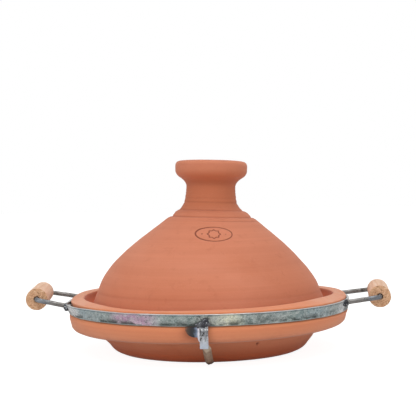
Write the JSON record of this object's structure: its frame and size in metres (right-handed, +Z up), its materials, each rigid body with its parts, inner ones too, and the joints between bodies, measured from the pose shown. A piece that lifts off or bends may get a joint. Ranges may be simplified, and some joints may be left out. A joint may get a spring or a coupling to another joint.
{
  "type": "tagine pot",
  "caption": "Clay cooking dish with a conical lid, held in a steel hoop on legs with wooden-gripped side handles.",
  "frame": {"origin": "centre of the dish's flat underside, on the surface the pot stands on", "axes": "+Z up along the dish's axis, +X to the right-hand grip, -Y towards the front leg"},
  "size_m": [0.4124, 0.3157, 0.2088],
  "materials": {
    "lid_clay": "unglazed, wiped smooth, fine throwing lines",
    "dish_clay": "unglazed, wiped smooth, fine throwing lines",
    "hoop_steel": "rolled flat bar with heat tints",
    "rod_steel": "drawn round bar, dull",
    "tab_steel": "ground flat bar, bright",
    "leg_steel": "square bar with brown mill scale",
    "weld_steel": "dark lumpy weld bead",
    "grip_wood": "bare dowel, sawn ends"
  },
  "bodies": {
    "stand": {"dish": "dish_clay", "hoop": "hoop_steel", "left_handle_rod": "rod_steel", "right_handle_rod": "rod_steel", "left_front_weld": "weld_steel", "left_back_weld": "weld_steel", "right_front_weld": "weld_steel", "right_back_weld": "weld_steel", "front_leg_tab": "tab_steel", "front_leg_gusset": "tab_steel", "front_leg_bar": "leg_steel", "front_leg_weld": "weld_steel", "back_right_leg_tab": "tab_steel", "back_right_leg_gusset": "tab_steel", "back_right_leg_bar": "leg_steel", "back_right_leg_weld": "weld_steel", "back_left_leg_tab": "tab_steel", "back_left_leg_gusset": "tab_steel", "back_left_leg_bar": "leg_steel", "back_left_leg_weld": "weld_steel"},
    "lid": {"lid": "lid_clay"},
    "left_grip": {"left_grip": "grip_wood"},
    "right_grip": {"right_grip": "grip_wood"}
  },
  "joints": [
    {"name": "lid_lift", "type": "slide", "parent": "stand", "child": "lid", "axis": [0, 0, 1], "range_m": [0, 0.12]},
    {"name": "left_grip_spin", "type": "hinge", "parent": "stand", "child": "left_grip", "pos_m": [-0.1897, 0, 0.0601], "axis": [-0.1219, 0.9925, 0], "continuous": true},
    {"name": "right_grip_spin", "type": "hinge", "parent": "stand", "child": "right_grip", "pos_m": [0.1897, 0, 0.0574], "axis": [0.1219, 0.9925, 0], "continuous": true}
  ]
}
